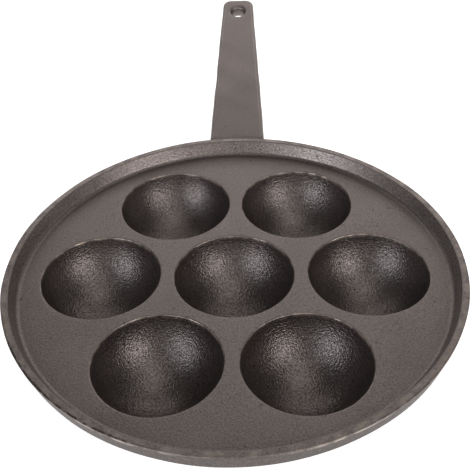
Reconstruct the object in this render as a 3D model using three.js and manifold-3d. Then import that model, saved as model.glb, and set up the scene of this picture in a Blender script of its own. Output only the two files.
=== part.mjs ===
// Cast-iron pan with seven round wells, a raised rim and a flat handle with a hanging hole.
// Millimetres, +Z up. The pan stands on z = 0 and its handle points along +Y.
import * as THREE from 'three';
import { mergeVertices } from 'three/addons/utils/BufferGeometryUtils.js';
import Module from 'manifold-3d';

// Wells: one in the middle and a ring round it
const outerWells = 6;
const wellMouth = 62.2;          // across the rounded mouth
const wellDepth = 27;            // plate down to the bottom of the bowl
const wellLip = 0.8;             // rounding of the mouth's edge
const wellBridge = 5.8;          // plate between two neighbouring mouths
const wellWall = 4.2;            // iron round a bowl, level with the plate's underside
const wellFloor = 4;             // iron below the deepest point
const footDiameter = 20;         // ground flat that a bowl stands on
const domeFillet = 4;            // hollow where a bowl leaves the plate's underside

// Plate and rim
const plateThickness = 4.5;
const plateMargin = 9.7;         // plate between an outer mouth and the rim's inner wall
const plateEdge = 2.5;           // rounding of the lower outer edge
const rimHeight = 7.4;           // above the plate
const rimLand = 3.6;             // flat top of the rim
const rimInnerDraft = 21.5;      // degrees that the inner wall leans out
const rimOuterDraft = 15.5;      // degrees that the outer wall leans out
const rimEdge = 0.5;             // rounding of the land's two edges
const rimFoot = 2.4;             // fillet at the foot of the inner wall

// Handle
const handleReach = 135.8;       // rim to tip, seen from above
const handleTilt = 14;           // degrees that it rises
const handleDrop = 3.7;          // rim top down to the handle's upper face at the rim
const handleRootWidth = 34;
const handleTipWidth = 20.8;
const handleRootThickness = 8.5;
const handleTipThickness = 8.3;
const handleCorner = 5.5;        // radius of the two tip corners
const handleEdge = 2.4;          // rounding along the edges and round the hole
const handleFlare = 8;           // fillet, seen from above, where the root meets the rim
const rootEmbed = 4;             // how far inside the rim's edge the flare springs from the wall
const seatStand = 3;             // joint face, beyond the rim's outer edge
const holeDiameter = 8.8;        // hanging hole, at its narrowest
const holeInset = 13.3;          // tip to the middle of the hole

// Facets
const wellSteps = 30;            // round a well
const rimSteps = 84;             // round the rim
const bowlSteps = 7;             // down a bowl
const domeSteps = 5;             // down the outside of a bowl
const edgeSteps = 2;             // across a rounded edge of the pan
const barEdgeSteps = 3;          // across a rounded edge of the handle
const cornerSteps = 6;           // round a handle corner or flare
const holeSteps = 24;            // round the hanging hole

const wasm = await Module();
wasm.setup();

const { degToRad } = THREE.MathUtils;
const quarter = Math.PI / 2;
const crossing = degToRad(15);   // slope at which a rounded edge runs through a level face
const overrun = 2;               // a cutter's reach past the face that it cuts
const roundShare = 0.45;         // most of a bar's thickness that an edge rounding may take

// Heights, radii and places that follow from the sizes above
const plateTop = wellDepth + wellFloor;
const plateUnder = plateTop - plateThickness;
const rimTop = plateTop + rimHeight;
const wellPitch = wellMouth + wellBridge;
const ringRadius = wellPitch * Math.max(1, 0.5 / Math.sin(Math.PI / outerWells));
const innerLean = degToRad(rimInnerDraft);
const outerLean = degToRad(rimOuterDraft);
const innerFoot = ringRadius + wellMouth / 2 + plateMargin;
const innerTop = innerFoot + rimHeight * Math.tan(innerLean);
const rimRadius = innerTop + rimLand;

const wellCentres = [new THREE.Vector2(0, 0)];
for (let i = 0; i < outerWells; i += 1) {
  const angle = (i * 2 * Math.PI) / outerWells;
  wellCentres.push(new THREE.Vector2(Math.cos(angle), Math.sin(angle)).multiplyScalar(ringRadius));
}

function point(r, z) {
  return new THREE.Vector2(r, z);
}

// Points along a circular arc
function arc(r, z, radius, from, to, steps) {
  return new THREE.ArcCurve(r, z, radius, from, to, to < from).getPoints(steps);
}

// An arc that eases a wall over into a level face, ended by a straight run through that face
function easeThrough(r, z, radius, from) {
  const eased = arc(r, z, radius, from, quarter + crossing, edgeSteps);
  const run = point(Math.cos(crossing), Math.sin(crossing)).multiplyScalar(overrun);
  return [...eased, eased[eased.length - 1].clone().add(run)];
}

// A closed three.js geometry as a solid
function toSolid(geometry) {
  geometry.deleteAttribute('normal');
  geometry.deleteAttribute('uv');
  const merged = mergeVertices(geometry);
  const corners = merged.index.array;
  const triangles = [];
  for (let i = 0; i < corners.length; i += 3) {
    const [a, b, c] = corners.slice(i, i + 3);
    if (a !== b && b !== c && c !== a) {
      triangles.push(a, b, c);
    }
  }
  const vertProperties = new Float32Array(merged.attributes.position.array);
  const triVerts = new Uint32Array(triangles);
  return new wasm.Manifold(new wasm.Mesh({ numProp: 3, vertProperties, triVerts }));
}

// A profile, closed level to the axis at both ends, turned round the upright line through (x, y)
function turned(profile, steps, x = 0, y = 0) {
  const first = profile[0];
  const last = profile[profile.length - 1];
  const geometry = new THREE.LatheGeometry([point(0, first.y), ...profile, point(0, last.y)], steps);
  geometry.rotateX(quarter);
  geometry.translate(x, y, 0);
  return toSolid(geometry);
}

// Plate and rim as one disc with leaning sides, before the tray is cut from its top
function plateDisc() {
  const topHeight = rimTop - rimEdge;
  const topCentre = rimRadius - rimEdge;
  const lowHeight = plateUnder + plateEdge;
  const fall = (topHeight - lowHeight) * Math.tan(outerLean);
  const lowCentre = topCentre - fall + (rimEdge - plateEdge) / Math.cos(outerLean);
  return turned([
    ...arc(lowCentre, lowHeight, plateEdge, -quarter, -outerLean, edgeSteps),
    ...arc(topCentre, topHeight, rimEdge, -outerLean, quarter, edgeSteps),
  ], rimSteps);
}

// Space above the plate and inside the rim
function tray() {
  const inset = 1 / Math.cos(innerLean) - Math.tan(innerLean);
  return turned([
    ...arc(innerFoot - rimFoot * inset, plateTop + rimFoot, rimFoot, -quarter, -innerLean, edgeSteps),
    ...easeThrough(innerTop + rimEdge * inset, rimTop - rimEdge, rimEdge, Math.PI - innerLean),
  ], rimSteps);
}

// Profile of a ball from a start angle up to a level face, eased into that face by a fillet
function ballProfile(radius, centre, start, face, fillet, steps) {
  const easeHeight = face - fillet;
  const easeCentre = Math.sqrt((radius + fillet) ** 2 - (easeHeight - centre) ** 2);
  const meet = Math.atan2(easeHeight - centre, easeCentre);
  return [
    ...arc(0, centre, radius, start, meet, steps).slice(0, -1),
    ...easeThrough(easeCentre, easeHeight, fillet, Math.PI + meet),
  ];
}

// Ball of the bowl's inside: its lip starts at the mouth and its lowest point is at the depth
const mouthRadius = wellMouth / 2;
const bowlRadius = (mouthRadius ** 2 + wellDepth ** 2) / (2 * wellDepth) - wellLip;
const bowlCentre = wellFloor + bowlRadius;

// Ball of the bowl's outside: through the foot's edge, and a wall's thickness out at the plate
const footRadius = footDiameter / 2;
const neckRadius = Math.sqrt(bowlRadius ** 2 - (bowlCentre - plateUnder) ** 2) + wellWall;
const domeCentre = (neckRadius ** 2 + plateUnder ** 2 - footRadius ** 2) / (2 * plateUnder);
const domeRadius = Math.hypot(footRadius, domeCentre);

function wellSpace({ x, y }) {
  const profile = ballProfile(bowlRadius, bowlCentre, -quarter, plateTop, wellLip, bowlSteps);
  return turned(profile, wellSteps, x, y);
}

function wellDome({ x, y }) {
  const foot = Math.atan2(-domeCentre, footRadius);
  const profile = ballProfile(domeRadius, domeCentre, foot, plateUnder, domeFillet, domeSteps);
  return turned(profile, wellSteps, x, y);
}

// Tapered flat bar with rounded edges, from inside the rim wall to the tip, in its tilted place
function handleBar() {
  const tilt = degToRad(handleTilt);
  const length = handleReach / Math.cos(tilt);
  const edge = Math.min(handleEdge, roundShare * handleTipThickness);
  const taper = (handleRootWidth - handleTipWidth) / 2 / length;
  const side = Math.atan(taper);
  const halfWidth = (along) => handleRootWidth / 2 - taper * along;

  const baseY = -rootEmbed - 2 * edge;
  const flareY = handleFlare - rootEmbed;
  const flareX = halfWidth(flareY) + handleFlare;
  const cornerY = length - handleCorner;
  const cornerX = halfWidth(cornerY) - handleCorner / Math.cos(side);
  const outline = new THREE.Shape([
    point(flareX, baseY),
    ...arc(flareX, flareY, handleFlare, -quarter, -Math.PI, cornerSteps),
    ...arc(cornerX, cornerY, handleCorner, side, quarter, cornerSteps),
    ...arc(-cornerX, cornerY, handleCorner, quarter, Math.PI - side, cornerSteps),
    ...arc(-flareX, flareY, handleFlare, 0, -quarter, cornerSteps),
    point(-flareX, baseY),
  ]);
  const hole = arc(0, length - holeInset, holeDiameter / 2, 0, 2 * Math.PI, holeSteps);
  outline.holes.push(new THREE.Path(hole.slice(0, -1)));

  const depth = handleTipThickness - 2 * edge;
  const geometry = new THREE.ExtrudeGeometry(outline, {
    depth,
    bevelThickness: edge,
    bevelSize: edge,
    bevelOffset: -edge,
    bevelSegments: barEdgeSteps,
  });
  geometry.translate(0, 0, -depth - edge);
  // The upper face stays flat and the underside falls away towards the root
  const corners = geometry.attributes.position;
  for (let i = 0; i < corners.count; i += 1) {
    const share = corners.getY(i) / length;
    const thickness = THREE.MathUtils.lerp(handleRootThickness, handleTipThickness, share);
    corners.setZ(i, (corners.getZ(i) * thickness) / handleTipThickness);
  }
  geometry.rotateX(tilt);
  geometry.translate(0, rimRadius, rimTop - handleDrop);
  return toSolid(geometry);
}

// A box far larger than the pan, from one corner upwards, outwards and to both sides
function roomFrom(y, z) {
  const size = 2 * (rimRadius + handleReach);
  const geometry = new THREE.BoxGeometry(size, size, size);
  geometry.translate(0, y + size / 2, z + size / 2);
  return toSolid(geometry);
}

// The bar is parted at an upright joint face: its root is cast on the pan, the rest is the handle
const bar = handleBar();
const beyondJoint = roomFrom(rimRadius + seatStand, 0);
const handleBody = bar.intersect(beyondJoint);
const rootBody = bar.subtract(beyondJoint).intersect(roomFrom(0, plateUnder));

let panBody = plateDisc().add(rootBody);
for (const centre of wellCentres) {
  panBody = panBody.add(wellDome(centre));
}
panBody = panBody.subtract(tray());
for (const centre of wellCentres) {
  panBody = panBody.subtract(wellSpace(centre));
}

function toMesh(name, body, finish) {
  const { vertProperties, triVerts } = body.getMesh();
  const geometry = new THREE.BufferGeometry();
  geometry.setAttribute('position', new THREE.BufferAttribute(vertProperties, 3));
  geometry.setIndex(new THREE.BufferAttribute(triVerts, 1));
  geometry.computeVertexNormals();
  const mesh = new THREE.Mesh(geometry, new THREE.MeshStandardMaterial(finish));
  mesh.name = name;
  return mesh;
}

const group = new THREE.Group();
group.name = 'seven_well_pan';
group.add(toMesh('pan', panBody, { color: 0x625a57, roughness: 0.5, metalness: 0.7 }));
group.add(toMesh('handle', handleBody, { color: 0x746c69, roughness: 0.6, metalness: 0.6 }));

export default group;
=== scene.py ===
import bpy
import numpy as np
from mathutils import Matrix


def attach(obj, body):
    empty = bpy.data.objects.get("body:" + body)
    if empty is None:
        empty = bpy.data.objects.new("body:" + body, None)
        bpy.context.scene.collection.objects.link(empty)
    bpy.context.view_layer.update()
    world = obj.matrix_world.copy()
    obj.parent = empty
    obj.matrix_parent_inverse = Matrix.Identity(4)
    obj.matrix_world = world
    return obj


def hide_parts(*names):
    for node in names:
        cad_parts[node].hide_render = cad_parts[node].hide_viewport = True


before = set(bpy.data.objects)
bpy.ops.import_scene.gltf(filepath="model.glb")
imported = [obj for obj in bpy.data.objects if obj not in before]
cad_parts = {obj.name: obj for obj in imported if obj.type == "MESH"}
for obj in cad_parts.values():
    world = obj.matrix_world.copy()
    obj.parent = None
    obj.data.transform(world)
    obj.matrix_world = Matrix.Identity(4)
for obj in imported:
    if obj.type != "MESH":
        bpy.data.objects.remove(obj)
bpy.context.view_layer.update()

mm = 0.001                         # lengths are written in millimetres and become metres in the mesh
mergeDigits = 4                    # points that agree to so many decimals of a millimetre are merged
groundHold = 3.0                   # the unevenness of the casting grows from nothing up to this height
sharpAngle = 50                    # degrees between two faces at which the shading breaks
noiseMiddle = 0.5                  # mean of Blender's noise
scene = bpy.context.scene
scene.view_settings.view_transform = "Standard"
print("frame:", ", ".join(sorted(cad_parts)))


# Shape tools

# 0 as far as none, 1 from whole on, and the cubic 3t^2 - 2t^3 between them; either may be the larger
def ease(value, none, whole):
    t = np.clip((value - none) / (whole - none), 0, 1)
    return t * t * (3 - 2 * t)


# unit vectors: the cosine and sine of angles in degrees
def spokes(angles):
    turn = np.radians(angles)
    return np.stack((np.cos(turn), np.sin(turn)), -1)


# arc: centre plus radius times evenly spread spokes
def arc(centre, radius, fromAngle, toAngle, steps):
    return np.array(centre) + radius * spokes(np.linspace(fromAngle, toAngle, steps + 1))


# straight runs with arcs at their corners: an arc begins radius * tan(half the turn) before its corner,
# and its spoke swings through the turn
def roundedPath(corners, radii, steps):
    corners = np.array(corners, float)
    run = np.diff(corners, axis=0)
    run /= np.linalg.norm(run, axis=1, keepdims=True)
    parts = [corners[:1]]
    for corner, before, after, radius in zip(corners[1:-1], run[:-1], run[1:], radii):
        turn = np.arctan2(before[0] * after[1] - before[1] * after[0], before @ after)
        side = np.array((-before[1], before[0])) * np.sign(turn) * radius
        centre = corner - before * radius * np.tan(abs(turn) / 2) + side
        swing = np.linspace(0, turn, steps + 1)
        across = np.array((side[1], -side[0]))
        parts.append(centre - np.cos(swing)[:, None] * side + np.sin(swing)[:, None] * across)
    return np.concatenate(parts + [corners[-1:]])


# the same path with every span longer than the limit cut into equal parts
def divideSpans(path, longest):
    span = np.diff(path, axis=0)
    parts = np.maximum(1, np.ceil(np.linalg.norm(span, axis=1) / longest)).astype(int)
    which = np.repeat(np.arange(len(parts)), parts)
    share = (np.arange(len(which)) - np.repeat(np.cumsum(parts) - parts, parts)) / parts[which]
    return np.vstack((path[which] + share[:, None] * span[which], path[-1:]))


# swell: the sum of plane waves sin(k . p + phase) with seeded directions, lengths and phases, scaled to
# a spread of about one
def castSwell(points, length, seed, waves=16, shortest=0.6, longest=1.7):
    rng = np.random.default_rng(seed)
    heading = rng.normal(size=(waves, 3))
    heading /= np.linalg.norm(heading, axis=1, keepdims=True)
    heading *= 2 * np.pi / (length * rng.uniform(shortest, longest, (waves, 1)))
    return np.sin(points @ heading.T + rng.uniform(0, 2 * np.pi, waves)).sum(1) / np.sqrt(waves / 2)


# each grid gives quads between neighbouring rows and columns; points that coincide are merged, and a quad
# that loses a corner at a pole becomes a triangle; marks are the piece's own attributes
def meshFromGrids(name, grids, markNames):
    pointList, markList, quadList = [], [], []
    count = 0
    for points, marks, flipped in grids:
        rows, columns = points.shape[:2]
        index = count + np.arange(rows * columns).reshape(rows, columns)
        quads = np.stack((index[:-1, :-1], index[1:, :-1], index[1:, 1:], index[:-1, 1:]), -1).reshape(-1, 4)
        quadList.append(quads[:, ::-1] if flipped else quads)
        pointList.append(points.reshape(-1, 3))
        marks = np.broadcast_to(marks, (rows, columns, len(markNames)))
        markList.append(marks.reshape(rows * columns, len(markNames)))
        count += rows * columns
    points = np.concatenate(pointList)
    rounded = np.round(points, mergeDigits)
    first, merged = np.unique(rounded, axis=0, return_index=True, return_inverse=True)[1:]
    quads = merged.ravel()[np.concatenate(quadList)]
    kept = quads != np.roll(quads, 1, axis=1)
    whole = kept.sum(1) > 2
    corners, sides = quads[whole][kept[whole]], kept[whole].sum(1)
    mesh = bpy.data.meshes.new(name)
    mesh.vertices.add(len(first))
    mesh.vertices.foreach_set("co", (points[first] * mm).ravel())
    mesh.loops.add(len(corners))
    mesh.loops.foreach_set("vertex_index", corners)
    mesh.polygons.add(len(sides))
    mesh.polygons.foreach_set("loop_start", np.cumsum(sides) - sides)
    mesh.update(calc_edges=True)
    for markName, values in zip(markNames, np.concatenate(markList)[first].T):
        mesh.attributes.new(markName, "FLOAT", "POINT").data.foreach_set("value", values)
    return mesh


# uneven casting: every point moves along its normal by amount times the swell, but not at the ground
def unevenCasting(mesh, amount, length, seed):
    points = np.empty(len(mesh.vertices) * 3)
    normals = np.empty(len(mesh.vertices) * 3)
    mesh.vertices.foreach_get("co", points)
    mesh.vertex_normals.foreach_get("vector", normals)
    points, normals = points.reshape(-1, 3) / mm, normals.reshape(-1, 3)
    move = amount * castSwell(points, length, seed) * ease(points[:, 2], 0, groundHold)
    mesh.vertices.foreach_set("co", ((points + move[:, None] * normals) * mm).ravel())
    mesh.update()


# the mesh as a piece at the origin that stands for a solid of the frame
def placePiece(mesh, node, material):
    mesh.polygons.foreach_set("use_smooth", np.ones(len(mesh.polygons), bool))
    mesh.set_sharp_from_angle(angle=np.radians(sharpAngle))
    mesh.materials.append(material)
    piece = bpy.data.objects.new(mesh.name, mesh)
    scene.collection.objects.link(piece)
    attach(piece, "root")
    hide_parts(node)
    print(mesh.name + ":", len(mesh.vertices), "points,", len(mesh.polygons), "faces")


# Material tools

# a node with its settings; an input is a value, or an output socket to link
def addNode(tree, kind, inputs=None, **settings):
    node = tree.nodes.new("ShaderNode" + kind)
    for key, value in settings.items():
        setattr(node, key, value)
    for key, value in (inputs or {}).items():
        if isinstance(value, bpy.types.NodeSocket):
            tree.links.new(value, node.inputs[key])
        else:
            node.inputs[key].default_value = value
    return node


# one step of arithmetic on two values
def maths(tree, operation, first, second):
    return addNode(tree, "Math", {0: first, 1: second}, operation=operation).outputs[0]


# numbers: first * (1 - share) + second * share
def blendValue(tree, share, first, second):
    return addNode(tree, "Mix", {0: share, 2: first, 3: second}).outputs[0]


# the same for colours, or a share of another way to put two together
def blendColour(tree, share, first, second, way="MIX"):
    inputs = {0: share, 6: first, 7: second}
    return addNode(tree, "Mix", inputs, data_type="RGBA", blend_type=way).outputs[2]


# colours again, where the share is a mark times the part that it may give
def blendPart(tree, markValue, part, first, second):
    return blendColour(tree, maths(tree, "MULTIPLY", markValue, part), first, second)


# 0 as far as the first limit, 1 from the second on, and a straight or smooth step between them
def between(tree, value, limits, way="LINEAR"):
    inputs = {"Value": value, "From Min": limits[0], "From Max": limits[1]}
    return addNode(tree, "MapRange", inputs, interpolation_type=way).outputs[0]


# noise from 0 to 1, with a scale per metre
def noise(tree, where, scale, detail):
    return addNode(tree, "TexNoise", {"Vector": where, "Scale": scale, "Detail": detail}).outputs["Fac"]


# noise less its mean, so that it swings both ways
def noiseSwing(tree, where, scale, detail):
    return maths(tree, "SUBTRACT", noise(tree, where, scale, detail), noiseMiddle)


# a node group with named sockets, and its two ends
def newGroup(name, inputs, outputs):
    group = bpy.data.node_groups.new(name, "ShaderNodeTree")
    for socketName, kind in inputs.items():
        group.interface.new_socket(socketName, in_out="INPUT", socket_type="NodeSocket" + kind)
    for socketName, kind in outputs.items():
        group.interface.new_socket(socketName, in_out="OUTPUT", socket_type="NodeSocket" + kind)
    return group, group.nodes.new("NodeGroupInput").outputs, group.nodes.new("NodeGroupOutput").inputs


ironSkin = {                 # what every iron shares: scale per metre and detail of its noises
    "pebbleDetail": 1.2,
    "fineScale": 2400,
    "fineDetail": 2,
    "slowScale": 42,
    "slowDetail": 4,
    "pitScale": 430,
    "pitDetail": 0.5,
    "pitLimits": (0.76, 0.84),     # noise at which a pit begins and is full
    "wearDetail": 3,
    "wearLimits": (0.40, 0.60),    # noise at which a worn patch begins and is full
}


# sand grain of a casting: the height is pebbles and a finer grain, each times its own amount, the shade is 1
# plus pebbles and slow mottling in the same way, the pebbles as painted shade in their hollows and painted
# light on their tops, and pits are the peaks of a sparse noise
def makeCastGrain():
    group, given, result = newGroup(
        "castGrain",
        {"Vector": "Vector", "Pebble Scale": "Float", "Pebble": "Float", "Fine": "Float",
         "Contrast": "Float", "Mottle": "Float"},
        {"Height": "Float", "Shade": "Float", "Slow": "Float", "Pits": "Float"},
    )
    where = given["Vector"]
    pebbles = noiseSwing(group, where, given["Pebble Scale"], ironSkin["pebbleDetail"])
    fine = noiseSwing(group, where, ironSkin["fineScale"], ironSkin["fineDetail"])
    slow = noiseSwing(group, where, ironSkin["slowScale"], ironSkin["slowDetail"])
    pebbleHeight = maths(group, "MULTIPLY", pebbles, given["Pebble"])
    fineHeight = maths(group, "MULTIPLY", fine, given["Fine"])
    group.links.new(maths(group, "ADD", pebbleHeight, fineHeight), result["Height"])
    # painted shade in the pebbles' hollows and painted light on their tops, in step with their height
    paintedPebbleShade = maths(group, "MULTIPLY", pebbles, given["Contrast"])
    slowShade = maths(group, "MULTIPLY", slow, given["Mottle"])
    group.links.new(maths(group, "ADD", maths(group, "ADD", paintedPebbleShade, slowShade), 1.0), result["Shade"])
    group.links.new(slow, result["Slow"])
    spots = noise(group, where, ironSkin["pitScale"], ironSkin["pitDetail"])
    group.links.new(between(group, spots, ironSkin["pitLimits"]), result["Pits"])
    return group


# patchy wear: a mark times noise that is cut off between two limits
def makePatchyWear():
    group, given, result = newGroup(
        "patchyWear", {"Vector": "Vector", "Mark": "Float", "Scale": "Float"}, {"Share": "Float"}
    )
    patches = noise(group, given["Vector"], given["Scale"], ironSkin["wearDetail"])
    share = between(group, patches, ironSkin["wearLimits"])
    group.links.new(maths(group, "MULTIPLY", share, given["Mark"]), result["Share"])
    return group


castGrain = makeCastGrain()
patchyWear = makePatchyWear()


# a material, its node tree and the sockets of its shader
def newMaterial(name):
    material = bpy.data.materials.new(name)
    material.use_nodes = True
    return material, material.node_tree, material.node_tree.nodes["Principled BSDF"].inputs


# one of the piece's own marks
def mark(tree, name):
    return addNode(tree, "Attribute", attribute_name=name).outputs["Fac"]


# a mark broken up into patches
def worn(tree, where, markName, scale):
    inputs = {"Vector": where, "Mark": mark(tree, markName), "Scale": scale}
    return addNode(tree, "Group", inputs, node_tree=patchyWear).outputs["Share"]


# the sand grain with a piece's own values: two shares take the pebbles from plain to coarse
def addGrain(tree, where, piece, bumpy, coarse):
    inputs = {
        "Vector": where,
        "Pebble Scale": piece["pebbleScale"],
        "Pebble": blendValue(tree, bumpy, *piece["pebbleHeight"]),
        "Fine": piece["fineHeight"],
        "Contrast": blendValue(tree, coarse, *piece["pebbleContrast"]),
        "Mottle": piece["mottle"],
    }
    return addNode(tree, "Group", inputs, node_tree=castGrain).outputs


# the shader of an iron: its colour, a roughness that varies with the mottling, and the grain less the pits
# as its bump
def finishIron(tree, shader, piece, grain, colour, rough):
    tree.links.new(colour, shader["Base Color"])
    mottling = maths(tree, "MULTIPLY", grain["Slow"], piece["roughMottle"])
    tree.links.new(maths(tree, "ADD", rough, mottling), shader["Roughness"])
    shader["Metallic"].default_value = piece["metal"]
    dents = maths(tree, "MULTIPLY", grain["Pits"], piece["pitDepth"])
    height = maths(tree, "SUBTRACT", grain["Height"], dents)
    bump = addNode(tree, "Bump", {"Height": height, "Distance": piece["grainDepth"], "Strength": 1.0})
    tree.links.new(bump.outputs["Normal"], shader["Normal"])


# Pan

pan = {
    "wellMouth": 62.2,       # across, where the lip meets the plate
    "wellDepth": 27.0,
    "wellLip": 0.8,          # rounding of the mouth
    "wellBridge": 5.8,       # plate between two mouths
    "wellWall": 4.2,         # iron round a bowl, level with the plate's underside
    "wellFloor": 4.0,        # iron below the deepest point
    "foot": 20.0,            # across the flat that a bowl stands on
    "domeFillet": 4.0,
    "plateThick": 4.5,
    "plateMargin": 9.7,      # plate between an outer mouth and the rim's inner wall
    "plateEdge": 2.5,        # rounding of the lower outer edge
    "rimHeight": 7.4,        # above the plate
    "rimLand": 3.6,          # flat top of the rim
    "rimInnerLean": 21.5,    # degrees
    "rimOuterLean": 15.5,
    "rimEdge": 0.5,
    "rimFoot": 2.4,          # fillet at the foot of the inner wall
    "uneven": 0.07,          # spread and length of the casting's swells
    "unevenLength": 38.0,
    "seed": 7,

    # steps of the mesh
    "rayStep": 3.0,          # degrees between two rays of a well
    "rimSteps": 52,          # along the rim, to each outer well
    "bowlSteps": 30,
    "lipSteps": 7,
    "domeSteps": 15,
    "footSteps": 3,
    "plateSteps": 7,         # from a bowl to the edge of its share of the plate
    "cornerSteps": 7,        # round a corner of the rim's section
    "sectionSpan": 0.7,      # longest span of that section

    # finish
    "plateColour": (0.162, 0.136, 0.127, 1),
    "wellColour": (0.158, 0.133, 0.125, 1),
    # the inner wall's colour, lighter than the plate's: painted light
    "wallColour": (0.225, 0.191, 0.179, 1),
    "underColour": (0.098, 0.079, 0.070, 1),
    # worn iron, and on the lips a painted highlight
    "rubbedColour": (0.420, 0.345, 0.295, 1),
    "stainColour": (0.066, 0.050, 0.041, 1),
    "pitColour": (0.045, 0.038, 0.036, 1),
    "stainPart": 0.9,        # most that a stain has of its colour
    "pitPart": 0.15,         # and a pit, and the painted shade in the corner at the rim's foot, of the pit's colour
    "cornerShadePart": 0.15,
    "plateRough": 0.46,
    "wellRough": 0.30,
    "wallRough": 0.30,
    "underRough": 0.55,
    "rubRough": 0.34,
    "roughMottle": 0.12,
    "metal": 0.92,
    "pebbleScale": 1100,     # per metre
    "pebbleHeight": (0.14, 0.60),      # on the plate, and in the bowls and outside
    "pebbleContrast": (1.2, 1.7),
    "wallBumps": 0.4,        # how far the inner wall has the coarser height
    "fineHeight": 0.16,
    "mottle": 0.5,
    "pitDepth": 0.5,
    "grainDepth": 0.00050,   # metres, of a height of one
    "rubScale": 200,         # patches of wear and of stain, per metre
    "stainScale": 330,

    # places of the marks: each pair gives where a mark is none and where it is whole
    "bowlBelowPlate": (0.0, 1.5),
    # the lip's painted highlight, carried by the wear mark
    "lipHighlightBelowPlate": (0.0, 0.25),
    "lipHighlightAboveBowl": (1.0, 0.6),        # below the plate, where the lip's painted highlight ends
    "wallAbovePlate": (0.3, 1.6),
    "wallBelowTop": (0.0, 0.8),
    "insideReach": 0.5,      # past the land's inner edge, for the marks of the inner wall
    "outsideBelowTop": (0.4, 1.2),
    "outsidePart": 0.86,     # of the outside's skin, on the outer wall; the underside has the rest too
    "undersideAbove": (2.0, 0.2),
    "shadeBeforeRimFoot": (8.0, 1.0),    # painted shade in the corner at the rim's foot, where the wall hides the light
    "shadeAbovePlate": (1.2, 0.2),
    "shadeSine": (0.8, 0.2),          # of the polar angle: it fades out towards the handle
    "edgeBelowTop": 1.3,     # middle of the worn outer edge, and the distance from it
    "edgeDistance": (1.2, 0.5),
    "lineInset": 0.4,        # middle of the stained line on the land, and the distance from it
    "lineDistance": (0.8, 0.25),
    "landFromInside": (0.2, 1.0),
    "landBelowTop": (1.2, 0.3),
    "landRub": 0.3,          # wear of the whole land

    # arcs along the rim: polar angle and half width in degrees, and strength
    "rubbedArcs": ((246, 16, 1.0), (294, 16, 1.0)),
    "stainedArcs": ((270, 13, 1.0), (316, 14, 1.0)),
    "lineArcs": ((226, 30, 3.0), (308, 18, 0.6)),
    "arcCore": 0.4,          # share of the half width that has the whole strength
}
# marks: the inner wall is painted lighter, the corner mark is painted shade at the rim's foot, and the wear
# mark also paints a highlight on the lips
panMarks = ("well", "wall", "under", "corner", "wearAndSheen", "stain")
wellTurn = 60                # degrees between two outer wells

plateTop = pan["wellDepth"] + pan["wellFloor"]
plateUnder = plateTop - pan["plateThick"]
rimTop = plateTop + pan["rimHeight"]
mouth = pan["wellMouth"] / 2
wellPitch = pan["wellMouth"] + pan["wellBridge"]
innerLean, outerLean = np.radians((pan["rimInnerLean"], pan["rimOuterLean"]))
rimFoot = wellPitch + mouth + pan["plateMargin"]
landInside = rimFoot + pan["rimHeight"] * np.tan(innerLean)
rimRadius = landInside + pan["rimLand"]


# edge of an outer well's share of the plate, for the well on +X: even polar steps along the circle, then
# rays at whole steps of the well's own angle, out to the lines halfway to its three neighbours
def outerCellEdge(circle):
    step = pan["rayStep"]
    outside = arc((0, 0), circle, -wellTurn / 2, wellTurn / 2, pan["rimSteps"])
    corner = np.degrees(np.arctan2(outside[-1, 1], outside[-1, 0] - wellPitch))
    ray = np.arange(np.floor(corner / step) + 1, np.ceil((360 - corner) / step)) * step
    neighbour = np.clip(np.round(ray / wellTurn) * wellTurn, 2 * wellTurn, 4 * wellTurn)
    reach = wellPitch / 2 / np.cos(np.radians(neighbour - ray))
    inside = spokes(ray) * reach[:, None]
    return np.concatenate((outside, inside + (wellPitch, 0), outside[:1]))


# edge of the middle well's share, a hexagon: half the pitch over the cosine of the angle to the nearest
# neighbour
def middleCellEdge():
    ray = np.arange(0, 360 + pan["rayStep"], pan["rayStep"])
    reach = wellPitch / 2 / np.cos(np.radians((ray + wellTurn / 2) % wellTurn - wellTurn / 2))
    return spokes(ray) * reach[:, None]


# one well's share of a face: a profile of radius and height turned round the well's centre, then rows that
# go on along each ray to the cell's edge, at the height that the face has at that radius
def cellGrid(centre, edge, profile, shares, heightAt):
    ray = edge - centre
    reach = np.linalg.norm(ray, axis=1)
    turned = np.repeat(profile[:, :, None], len(edge), 2)
    radius = profile[-1, 0] + shares[:, None] * (reach - profile[-1, 0])
    radius, height = np.vstack((turned[:, 0], radius)), np.vstack((turned[:, 1], heightAt(radius)))
    flat = centre + radius[..., None] * (ray / reach[:, None])
    return np.concatenate((flat, height[..., None]), -1)


# the middle cell and six turned copies of an outer one
def allCells(circle, profile, heightAt):
    shares = np.linspace(0, 1, pan["plateSteps"] + 1)[1:]
    grids = [cellGrid(np.zeros(2), middleCellEdge(), profile, shares, heightAt)]
    for turn in np.radians(np.arange(0, 360, wellTurn)):
        spin = np.array(((np.cos(turn), np.sin(turn)), (-np.sin(turn), np.cos(turn))))
        centre = np.array((wellPitch, 0)) @ spin
        grids.append(cellGrid(centre, outerCellEdge(circle) @ spin, profile, shares, heightAt))
    return grids


# bowl: an arc of the ball through the lowest point, then the lip's arc, which touches ball and plate
def bowlProfile():
    lip, depth = pan["wellLip"], pan["wellDepth"]
    ball = (mouth ** 2 + depth ** 2) / (2 * depth) - lip
    ballHeight = plateTop - depth + ball
    meet = np.degrees(np.arctan2(plateTop - lip - ballHeight, mouth))
    bowl = arc((0, ballHeight), ball, -90, meet, pan["bowlSteps"])
    bowl[0, 0] = 0
    return np.vstack((bowl, arc((mouth, plateTop - lip), lip, 180 + meet, 90, pan["lipSteps"])[1:]))


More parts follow.
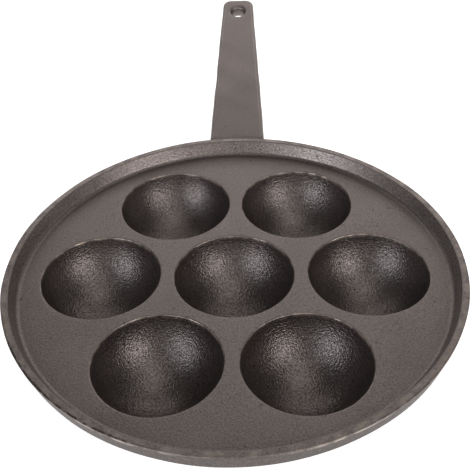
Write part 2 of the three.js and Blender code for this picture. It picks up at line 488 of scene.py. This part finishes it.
# underside of a bowl: the level foot, an arc of the dome's ball, then the height along the fillet or the
# plate
def domeProfile():
    foot, fillet = pan["foot"] / 2, pan["domeFillet"]
    bowl = bowlProfile()
    neck = np.interp(plateUnder, bowl[:, 1], bowl[:, 0]) + pan["wellWall"]
    domeHeight = (neck ** 2 + plateUnder ** 2 - foot ** 2) / (2 * plateUnder)
    dome = np.hypot(foot, domeHeight)
    filletHeight = plateUnder - fillet
    filletRadius = np.sqrt((dome + fillet) ** 2 - (domeHeight - filletHeight) ** 2)
    start = np.degrees(np.arctan2(-domeHeight, foot))
    meet = np.degrees(np.arctan2(filletHeight - domeHeight, filletRadius))
    level = np.linspace((0, 0), (foot, 0), pan["footSteps"] + 1)[:-1]
    profile = np.vstack((level, arc((0, domeHeight), dome, start, meet, pan["domeSteps"])))
    profile[:, 1] = np.maximum(profile[:, 1], 0)

    # the fillet's arc as far as its centre, and the level plate beyond
    def heightAt(radius):
        inward = np.clip(filletRadius - radius, 0, fillet)
        return filletHeight + np.sqrt(fillet ** 2 - inward ** 2)
    return profile, heightAt


# section of the rim, from the plate over the land and down the leaning outer wall to the underside; the
# land's outer corner lies so far out that its arc reaches rimRadius
def rimProfile():
    edge = pan["rimEdge"]
    corner = rimRadius - edge + edge * (1 + np.sin(outerLean)) / np.cos(outerLean)
    lower = corner - (rimTop - plateUnder) * np.tan(outerLean)
    plateEnd = rimFoot - pan["rimFoot"]
    underEnd = lower - 2 * pan["plateEdge"]
    corners = [(plateEnd, plateTop), (rimFoot, plateTop), (landInside, rimTop), (corner, rimTop),
               (lower, plateUnder), (underEnd, plateUnder)]
    radii = [pan["rimFoot"], edge, edge, pan["plateEdge"]]
    return divideSpans(roundedPath(corners, radii, pan["cornerSteps"]), pan["sectionSpan"])


# the section carried round the pan's axis: radius times cosine and sine of the polar angle
def rimGrid(section):
    polar = np.radians(np.linspace(-wellTurn / 2, 360 - wellTurn / 2, 6 * pan["rimSteps"] + 1))
    radius, height = section[:, :1], section[:, 1:]
    return np.stack((radius * np.cos(polar), radius * np.sin(polar), height + 0 * polar), -1)


# painted shade in the corner at the rim's foot, by the distance from it and by the sine of the polar angle,
# which is y over the radius
def cornerShadeMark(x, y):
    radius = np.hypot(x, y)
    sine = y / np.maximum(radius, 1)      # no division by nothing at the middle
    return ease(rimFoot - radius, *pan["shadeBeforeRimFoot"]) * ease(sine, *pan["shadeSine"])


# arcs along the rim: the strength near the middle of each arc, eased to 0 at its half width
def arcMark(polar, arcs):
    core = pan["arcCore"]
    return sum(strength * ease(np.abs(polar - middle), half, core * half) for middle, half, strength in arcs)


# marks of the rim: its inner wall, painted lighter, the outer wall and underside, painted shade in the
# corner at its foot, and wear and stain that fade with the distance from the outer edge and from a line on
# the land
def rimMarks(grid):
    radius, height = np.hypot(grid[..., 0], grid[..., 1]), grid[..., 2]
    polar = np.degrees(np.arctan2(grid[..., 1], grid[..., 0])) % 360
    above, below = height - plateTop, rimTop - height
    inside = radius < landInside + pan["insideReach"]
    # the inner wall, whose lighter colour is painted light
    wall = inside * ease(above, *pan["wallAbovePlate"]) * ease(below, *pan["wallBelowTop"])
    under = pan["outsidePart"] * (1 - inside) * ease(below, *pan["outsideBelowTop"])
    under += (1 - pan["outsidePart"]) * ease(height - plateUnder, *pan["undersideAbove"])
    # painted shade in the corner at the rim's foot, where the wall hides the light
    corner = cornerShadeMark(grid[..., 0], grid[..., 1]) * ease(above, *pan["shadeAbovePlate"]) * inside
    edge = ease(np.hypot(radius - rimRadius, below - pan["edgeBelowTop"]), *pan["edgeDistance"])
    line = ease(np.hypot(radius - rimRadius + pan["lineInset"], below), *pan["lineDistance"])
    land = ease(radius - landInside, *pan["landFromInside"]) * ease(below, *pan["landBelowTop"])
    wearAndSheen = np.maximum(edge * arcMark(polar, pan["rubbedArcs"]), pan["landRub"] * land)
    stain = edge * arcMark(polar, pan["stainedArcs"]) + line * arcMark(polar, pan["lineArcs"])
    return np.stack((0 * wall, wall, under, corner, wearAndSheen, stain), -1)


# marks of a well's share: the bowl, painted shade in the corner at the rim's foot, and a painted highlight
# on the lip, in patches like wear
def wellMarks(grid):
    below = plateTop - grid[..., 2]
    well = ease(below, *pan["bowlBelowPlate"])
    # painted highlight along the lip's rounded edge, put into the wear mark
    lip = ease(below, *pan["lipHighlightBelowPlate"]) * ease(below, *pan["lipHighlightAboveBowl"])
    # painted shade on the plate near the rim's foot
    corner = cornerShadeMark(grid[..., 0], grid[..., 1])
    return np.stack((well, 0 * well, 0 * well, corner, lip, 0 * well), -1)


# seasoned iron: the plate's colour and roughness give way to those of the bowls, the inner wall, painted
# lighter, and the outside by their marks, then come grain with painted shade in its hollows, pits, painted
# shade in the corner at the rim's foot, wear with a painted highlight on the lips, and stain
def makePanIron():
    material, tree, shader = newMaterial("seasonedIron")
    where = addNode(tree, "TexCoord").outputs["Object"]
    well, wall, under, corner = (mark(tree, name) for name in panMarks[:4])
    # wear of the rim's edge and land, and the painted highlight on the lips
    wearAndSheen = worn(tree, where, "wearAndSheen", pan["rubScale"])
    stain = worn(tree, where, "stain", pan["stainScale"])
    sandy = maths(tree, "MAXIMUM", well, under)
    coarse = maths(tree, "MAXIMUM", sandy, wall)
    bumpy = maths(tree, "MAXIMUM", sandy, maths(tree, "MULTIPLY", wall, pan["wallBumps"]))
    grain = addGrain(tree, where, pan, bumpy, coarse)

    colour, rough = pan["plateColour"], pan["plateRough"]
    # the inner wall's lighter colour is painted light
    for name, share in (("well", well), ("wall", wall), ("under", under)):
        colour = blendColour(tree, share, colour, pan[name + "Colour"])
        rough = blendValue(tree, share, rough, pan[name + "Rough"])
    # the grain's shade, with painted shade in the pebbles' hollows
    colour = blendColour(tree, 1.0, colour, grain["Shade"], "MULTIPLY")
    colour = blendPart(tree, grain["Pits"], pan["pitPart"], colour, pan["pitColour"])
    # painted shade: the corner at the rim's foot darkened towards the pits' colour
    colour = blendPart(tree, corner, pan["cornerShadePart"], colour, pan["pitColour"])
    colour = blendColour(tree, wearAndSheen, colour, pan["rubbedColour"])
    colour = blendPart(tree, stain, pan["stainPart"], colour, pan["stainColour"])
    rough = blendValue(tree, wearAndSheen, rough, pan["rubRough"])
    finishIron(tree, shader, pan, grain, colour, rough)
    return material


# the upper and lower faces as cells round the wells, and the rim's section carried round between them
def makePan():
    section = rimProfile()
    topCells = allCells(section[0, 0], bowlProfile(), lambda radius: plateTop + 0 * radius)
    underCells = allCells(section[-1, 0], *domeProfile())
    underSkin = np.array([name == "under" for name in panMarks], float)
    rim = rimGrid(section)
    grids = [(grid, wellMarks(grid), False) for grid in topCells]
    grids += [(grid, underSkin, True) for grid in underCells]
    grids.append((rim, rimMarks(rim), False))
    mesh = meshFromGrids("pan_casting", grids, panMarks)
    unevenCasting(mesh, pan["uneven"], pan["unevenLength"], pan["seed"])
    placePiece(mesh, "pan", makePanIron())


# Handle

handle = {
    "reach": 135.8,          # rim to tip, seen from above
    "tilt": 14.0,            # degrees that it rises
    "drop": 3.7,             # rim top down to the upper face at the rim
    "rootWidth": 34.0,
    "tipWidth": 20.8,
    "rootThick": 8.5,
    "tipThick": 8.3,
    "corner": 5.5,
    "edge": 2.4,
    "flare": 8.0,            # fillet, seen from above, at the root
    "embed": 4.0,            # how far inside the rim's edge the flare springs
    "rootFillet": 2.4,       # rise of the upper face into the rim's wall
    "filletSpan": (1.8, -1.4),         # along the bar, where that rise begins and ends
    "leanSpan": (7.0, -1.0),           # where the section begins to lean, and leans as the rim's wall does
    "underClear": 0.2,       # the root stays so far above the plate's underside
    "hole": 8.8,
    "holeInset": 13.3,       # tip to the middle of the hole
    "uneven": 0.07,          # spread and length of the casting's swells
    "unevenLength": 30.0,
    "seed": 11,

    # steps of the mesh
    "headLength": 29.0,      # part round the hole, laid out in rays
    "arcSteps": 12,          # round a flare or a corner of the tip
    "edgeSteps": 6,          # round an edge
    "acrossSteps": 14,
    "ringSteps": 6,          # from the hole's mouth to the edge
    "shaftGap": 0.5,         # end of the flare to the next point
    "shaftSpan": 2.8,        # longest spans of the shaft and of the head
    "headSpan": 2.2,

    # finish
    "barColour": (0.216, 0.182, 0.170, 1),
    # painted sheen along the rounded edges, with some wear
    "edgeSheenColour": (0.315, 0.268, 0.250, 1),
    "rubbedColour": (0.290, 0.255, 0.235, 1),
    "pitColour": (0.060, 0.050, 0.047, 1),
    "rubPart": 0.5,          # most that a rubbed patch, and a pit, has of its colour
    "pitPart": 0.5,
    "barRough": 0.48,
    "roughMottle": 0.14,
    "metal": 0.92,
    "pebbleScale": 760,      # per metre
    "pebbleHeight": (0.1, 2.0),        # on the upper side, and on the lower side and the root
    "pebbleContrast": (0.3, 1.5),
    "fineHeight": 0.16,
    "mottle": 0.4,
    "pitDepth": 0.4,
    "grainDepth": 0.00012,   # metres, of a height of one
    "rubScale": 130,         # patches of wear, per metre
    "skinSpan": (7.0, 1.0),  # along the bar, where the pan's skin begins and is whole
}
# the wear mark on the handle is also a painted sheen along the edges
handleMarks = ("wearAndSheen", "under")
barLength = handle["reach"] / np.cos(np.radians(handle["tilt"]))
holeMiddle = barLength - handle["holeInset"]


# half width of the bar, which tapers evenly from the root's to the tip's
def halfWidth(along):
    share = along / barLength
    return (handle["rootWidth"] * (1 - share) + handle["tipWidth"] * share) / 2


# outline from the right of the root round the tip to the left: flare arc, tapering side, corner arc and tip,
# then the same mirrored; also gives its outward normals and the place where the head begins. The flare
# begins where the edge of the upper face, an arc of radius flare + edge, is as deep in the rim as the embed
def barOutline():
    flareEnd = handle["flare"] - handle["embed"]
    flareX = halfWidth(flareEnd) + handle["flare"]
    begin = np.degrees(np.arcsin(handle["flare"] / (handle["flare"] + handle["edge"])))
    flare = arc((flareX, flareEnd), handle["flare"], begin - 180, -180, handle["arcSteps"])
    headStart = barLength - handle["headLength"]
    tip = roundedPath([(halfWidth(headStart), headStart), (halfWidth(barLength), barLength), (0, barLength)],
                      [handle["corner"]], handle["arcSteps"])
    shaftEnds = np.array((flareEnd + handle["shaftGap"], headStart))
    shaft = np.stack((halfWidth(shaftEnds), shaftEnds), -1)
    half = np.vstack((flare, divideSpans(shaft, handle["shaftSpan"])[:-1]))
    outline = np.vstack((half, divideSpans(tip, handle["headSpan"])))
    outline = np.vstack((outline, outline[-2::-1] * (-1, 1)))
    run = np.gradient(outline, axis=0)
    run /= np.linalg.norm(run, axis=1, keepdims=True)
    return outline, np.stack((run[:, 1], -run[:, 0]), -1), len(half)


# rise of the upper face towards the rim: a quarter of an ellipse
def upperFace(along):
    start, end = handle["filletSpan"]
    share = np.clip((start - along) / (start - end), 0, 1)
    return handle["rootFillet"] * (1 - np.sqrt(1 - share ** 2))


# the thickness goes evenly from the root's to the tip's, but no lower than the plate's underside at the root
def lowerFace(along):
    share = along / barLength
    thick = handle["rootThick"] * (1 - share) + handle["tipThick"] * share
    rise = along * np.sin(np.radians(handle["tilt"]))
    room = rimTop - handle["drop"] - plateUnder + rise - handle["underClear"]
    return -np.minimum(thick, room)


# from across, along and above the bar to the frame: the section stands square to the bar, and at the root it
# leans with the rim's outer wall
def barToFrame(across, along, above):
    tilt = np.radians(handle["tilt"])
    stand = -tilt + (outerLean + tilt) * ease(along, *handle["leanSpan"])
    y = rimRadius + along * np.cos(tilt) + above * np.sin(stand)
    z = rimTop - handle["drop"] + along * np.sin(tilt) + above * np.cos(stand)
    return np.stack(np.broadcast_arrays(across, y, z), -1)


# handle iron: painted lighter along the rounded edges, a painted sheen with some wear, rubbed there in
# patches, with the pan's own skin below and at the root
def makeHandleIron():
    material, tree, shader = newMaterial("handleIron")
    where = addNode(tree, "TexCoord").outputs["Object"]
    wearAndSheen, under = worn(tree, where, "wearAndSheen", handle["rubScale"]), mark(tree, "under")
    grain = addGrain(tree, where, handle, under, under)
    # the rounded edges painted lighter: painted sheen, with wear
    colour = blendColour(tree, mark(tree, "wearAndSheen"), handle["barColour"], handle["edgeSheenColour"])
    colour = blendPart(tree, wearAndSheen, handle["rubPart"], colour, handle["rubbedColour"])
    colour = blendColour(tree, under, colour, pan["underColour"])
    # the grain's shade, with painted shade in the pebbles' hollows
    colour = blendColour(tree, 1.0, colour, grain["Shade"], "MULTIPLY")
    colour = blendPart(tree, grain["Pits"], handle["pitPart"], colour, handle["pitColour"])
    rough = blendValue(tree, under, handle["barRough"], pan["underRough"])
    finishIron(tree, shader, handle, grain, colour, rough)
    return material


# marks of the handle: painted sheen and wear along its edges, and the pan's skin on the lower side and,
# eased over a few millimetres, at the root
def barMarks(wearAndSheen, under, along):
    under = np.maximum(under, ease(along, *handle["skinSpan"]))
    return np.stack(np.broadcast_arrays(wearAndSheen, under), -1)


# a rounded edge carried along the outline, the two faces between its ends, and the hole through the head
def makeHandle():
    outline, normals, headIndex = barOutline()
    edge = handle["edge"]
    turn = np.radians(np.linspace(0, 90, handle["edgeSteps"] + 1))
    inset = edge * np.concatenate((1 - np.sin(turn), 1 - np.sin(turn[::-1])))
    dip = edge * (1 - np.cos(turn))

    # section of the edge, from the upper face round the side to the lower face, carried along the outline
    across, along = np.moveaxis(outline - inset[:, None, None] * normals, -1, 0)
    half = len(turn)
    above = np.vstack((upperFace(along[:half]) - dip[:, None], lowerFace(along[half:]) + dip[::-1, None]))
    # painted sheen and wear, strongest halfway round each rounded edge
    edgeRows = np.concatenate((np.sin(2 * turn), np.sin(2 * turn[::-1])))[:, None]
    underRows = np.repeat((0.0, 1.0), half)[:, None]
    sideGrid = barToFrame(across, along, above)

    # upper and lower faces of the shaft: straight rows from the left edge to the right
    share = np.linspace(-1, 1, handle["acrossSteps"] + 1)
    rowAcross = across[0, :headIndex + 1, None] * share
    rowAlong = along[0, :headIndex + 1, None] + 0 * share
    upperShaft = barToFrame(rowAcross, rowAlong, upperFace(rowAlong))
    lowerShaft = barToFrame(rowAcross, rowAlong, lowerFace(rowAlong))

    # the head: rays from the hole's mouth to the edge, and the hole's own section carried round it
    tipPart = slice(headIndex, len(outline) - headIndex)
    loopAcross = np.concatenate((across[0, tipPart], rowAcross[-1, 1:]))
    loopAlong = np.concatenate((along[0, tipPart], rowAlong[-1, 1:]))
    aim = np.arctan2(loopAlong - holeMiddle, loopAcross)
    mouthRadius = handle["hole"] / 2 + edge
    ring = np.linspace(0, 1, handle["ringSteps"] + 1)[:, None]
    headAcross = (1 - ring) * mouthRadius * np.cos(aim) + ring * loopAcross
    headAlong = (1 - ring) * (holeMiddle + mouthRadius * np.sin(aim)) + ring * loopAlong
    upperHead = barToFrame(headAcross, headAlong, upperFace(headAlong))
    lowerHead = barToFrame(headAcross, headAlong, lowerFace(headAlong))
    holeRadius = (handle["hole"] / 2 + inset)[:, None]
    holeAcross, holeAlong = holeRadius * np.cos(aim), holeMiddle + holeRadius * np.sin(aim)
    holeAbove = np.vstack((-dip[:, None] + 0 * aim, lowerFace(holeAlong[half:]) + dip[::-1, None]))
    holeGrid = barToFrame(holeAcross, holeAlong, holeAbove)

    # the end inside the rim's wall: straight rows between the two faces, and a strip to each rounded side
    fall = np.linspace(0, 1, len(inset))[:, None, None]
    endGrid = upperShaft[0] * (1 - fall) + lowerShaft[0] * fall
    rightEnd = np.stack((endGrid[:, -1], sideGrid[:, 0]), 1)
    leftEnd = np.stack((sideGrid[:, -1], endGrid[:, 0]), 1)

    skin, bare = np.array((0.0, 1.0)), np.zeros(2)
    grids = [(sideGrid, barMarks(edgeRows, underRows, along), False),
             (upperShaft, barMarks(0.0, 0.0, rowAlong), True), (lowerShaft, skin, False),
             (upperHead, bare, False), (lowerHead, skin, True), (holeGrid, bare, True),
             (endGrid, skin, False), (rightEnd, skin, False), (leftEnd, skin, False)]
    mesh = meshFromGrids("handle_bar", grids, handleMarks)
    unevenCasting(mesh, handle["uneven"], handle["unevenLength"], handle["seed"])
    placePiece(mesh, "handle", makeHandleIron())


# Studio

studio = {
    "floor": 6.0,                      # metres across
    "floorSteps": 8,
    "floorColour": (0.86, 0.86, 0.86, 1),
    "floorRough": 0.9,
    "floorGlow": 0.76,                 # white that the floor shows by itself, under the light on it
    "left": (0.33, 0.345, 0.385, 1),   # colours of the world
    "right": (0.55, 0.55, 0.55, 1),
    "front": (1.08, 1.08, 1.08, 1),    # on the camera's side
    "high": (0.12, 0.12, 0.12, 1),     # overhead
    "horizon": (1.0, 1.0, 1.0, 1),     # low down all round, beyond the floor
    "rightFade": (-0.3, 0.3),          # x of the direction, where the right begins and is whole
    "frontFade": (-0.3, -0.85),        # and y or z for the others
    "highFade": (0.12, 0.52),
    "horizonFade": (0.15, 0.08),
}
softboxes = {                # degrees round from the camera's side and up, metres, watts and colour
    "rightBox": {"turn": 45, "rise": 25, "away": 1.2, "size": (0.68, 0.56),
                 "watts": 4.15, "colour": (1, 0.985, 0.99)},
    "leftBox": {"turn": -46, "rise": 22, "away": 1.2, "size": (0.64, 0.56),
                "watts": 4.5, "colour": (0.86, 0.93, 1)},
    "topPanel": {"turn": 54, "rise": 75.5, "away": 1.3, "size": (0.9, 1.5),
                 "watts": 3.9, "colour": (1, 0.98, 0.96)},
    "backPanel": {"turn": 179, "rise": 34.5, "away": 1.3, "size": (1.3, 0.74),
                  "watts": 4.85, "colour": (1, 1, 1)},
}


# a point at an angle round and an angle up: the direction whose x, y, z are sin(turn) cos(rise),
# -cos(turn) cos(rise) and sin(rise)
def direction(turn, rise):
    turn, rise = np.radians(turn), np.radians(rise)
    return np.array((np.sin(turn) * np.cos(rise), -np.cos(turn) * np.cos(rise), np.sin(rise)))


# the matrix whose columns are three axes and a place
def placed(side, up, back, place):
    return Matrix(np.vstack((np.stack((side, up, back, place), 1), (0, 0, 0, 1))).tolist())


# a level square grid; it glows for the camera, and for reflections and glass, so that they show it as white
def makeFloor():
    half, points = studio["floor"] / 2, studio["floorSteps"] + 1
    side = np.linspace(-half, half, points)
    grid = np.stack(np.meshgrid(side, side, indexing="xy") + [np.zeros((points, points))], -1) / mm
    mesh = meshFromGrids("studio_floor", [(grid, np.zeros(0), True)], ())
    material, tree, shader = newMaterial("paleFloor")
    shader["Base Color"].default_value = studio["floorColour"]
    shader["Roughness"].default_value = studio["floorRough"]
    path = addNode(tree, "LightPath").outputs
    seen = maths(tree, "MAXIMUM", path["Is Camera Ray"], path["Is Glossy Ray"])
    seen = maths(tree, "MAXIMUM", seen, path["Is Transmission Ray"])
    glow = addNode(tree, "Emission", {"Strength": maths(tree, "MULTIPLY", seen, studio["floorGlow"])})
    both = addNode(tree, "AddShader", {0: tree.nodes["Principled BSDF"].outputs[0], 1: glow.outputs[0]})
    tree.links.new(both.outputs[0], tree.nodes["Material Output"].inputs["Surface"])
    mesh.materials.append(material)
    floor = bpy.data.objects.new(mesh.name, mesh)
    scene.collection.objects.link(floor)


# the world goes from left to right, then to the front on the camera's side, to dim overhead and to white low
# down all round; each change is eased between two values of one part of the direction
def makeWorld():
    world = bpy.data.worlds.new("studioWorld")
    world.use_nodes = True
    tree = world.node_tree
    way = addNode(tree, "SeparateXYZ", {0: addNode(tree, "TexCoord").outputs["Generated"]}).outputs
    colour = studio["left"]
    for axis, name in (("X", "right"), ("Y", "front"), ("Z", "high"), ("Z", "horizon")):
        share = between(tree, way[axis], studio[name + "Fade"], "SMOOTHSTEP")
        colour = blendColour(tree, share, colour, studio[name])
    tree.links.new(colour, tree.nodes["Background"].inputs["Color"])
    scene.world = world


# each softbox faces the pan, with its width as level across the picture as its direction lets it be
def makeSoftboxes():
    for name, box in softboxes.items():
        lamp = bpy.data.lights.new(name, "AREA")
        lamp.shape = "RECTANGLE"
        lamp.size, lamp.size_y = box["size"]
        lamp.energy, lamp.color = box["watts"], box["colour"]
        back = direction(box["turn"], box["rise"])
        side = np.array((1, 0, 0)) - back[0] * back
        side = side / np.linalg.norm(side)
        place = back * box["away"] + (0, 0, plateTop * mm)
        light = bpy.data.objects.new(name, lamp)
        light.matrix_world = placed(side, np.cross(back, side), back, place)
        light.visible_camera = False
        scene.collection.objects.link(light)


shot = {
    "turn": 2.47,            # degrees round from the handle's line
    "rise": 39.45,
    "roll": -2.49,
    "away": 436.9,
    "target": (-0.05, 31.3),  # on the plate
    "focal": 812.9,          # pixels
    "picture": 470,          # pixels across
    "sensor": 36.0,
    "clipStart": 0.01,       # metres
}


# camera axes: back is the direction to the camera, side and up are turned about it by the roll
def makeCamera():
    back = direction(shot["turn"], shot["rise"])
    turn, roll = np.radians(shot["turn"]), np.radians(shot["roll"])
    side = np.array((np.cos(turn), np.sin(turn), 0))
    up = np.cross(back, side)
    side, up = np.cos(roll) * side + np.sin(roll) * up, np.cos(roll) * up - np.sin(roll) * side
    place = np.array((*shot["target"], plateTop)) + back * shot["away"]
    lens = bpy.data.cameras.new("studioCamera")
    lens.sensor_width = shot["sensor"]
    lens.lens = shot["sensor"] * shot["focal"] / shot["picture"]
    lens.clip_start = shot["clipStart"]
    camera = bpy.data.objects.new("studioCamera", lens)
    camera.matrix_world = placed(side, up, back, place * mm)
    scene.collection.objects.link(camera)
    scene.camera = camera


makeCamera()
print("camera set")
makePan()
makeHandle()
makeFloor()
makeWorld()
makeSoftboxes()
print("studio set:", ", ".join(softboxes))
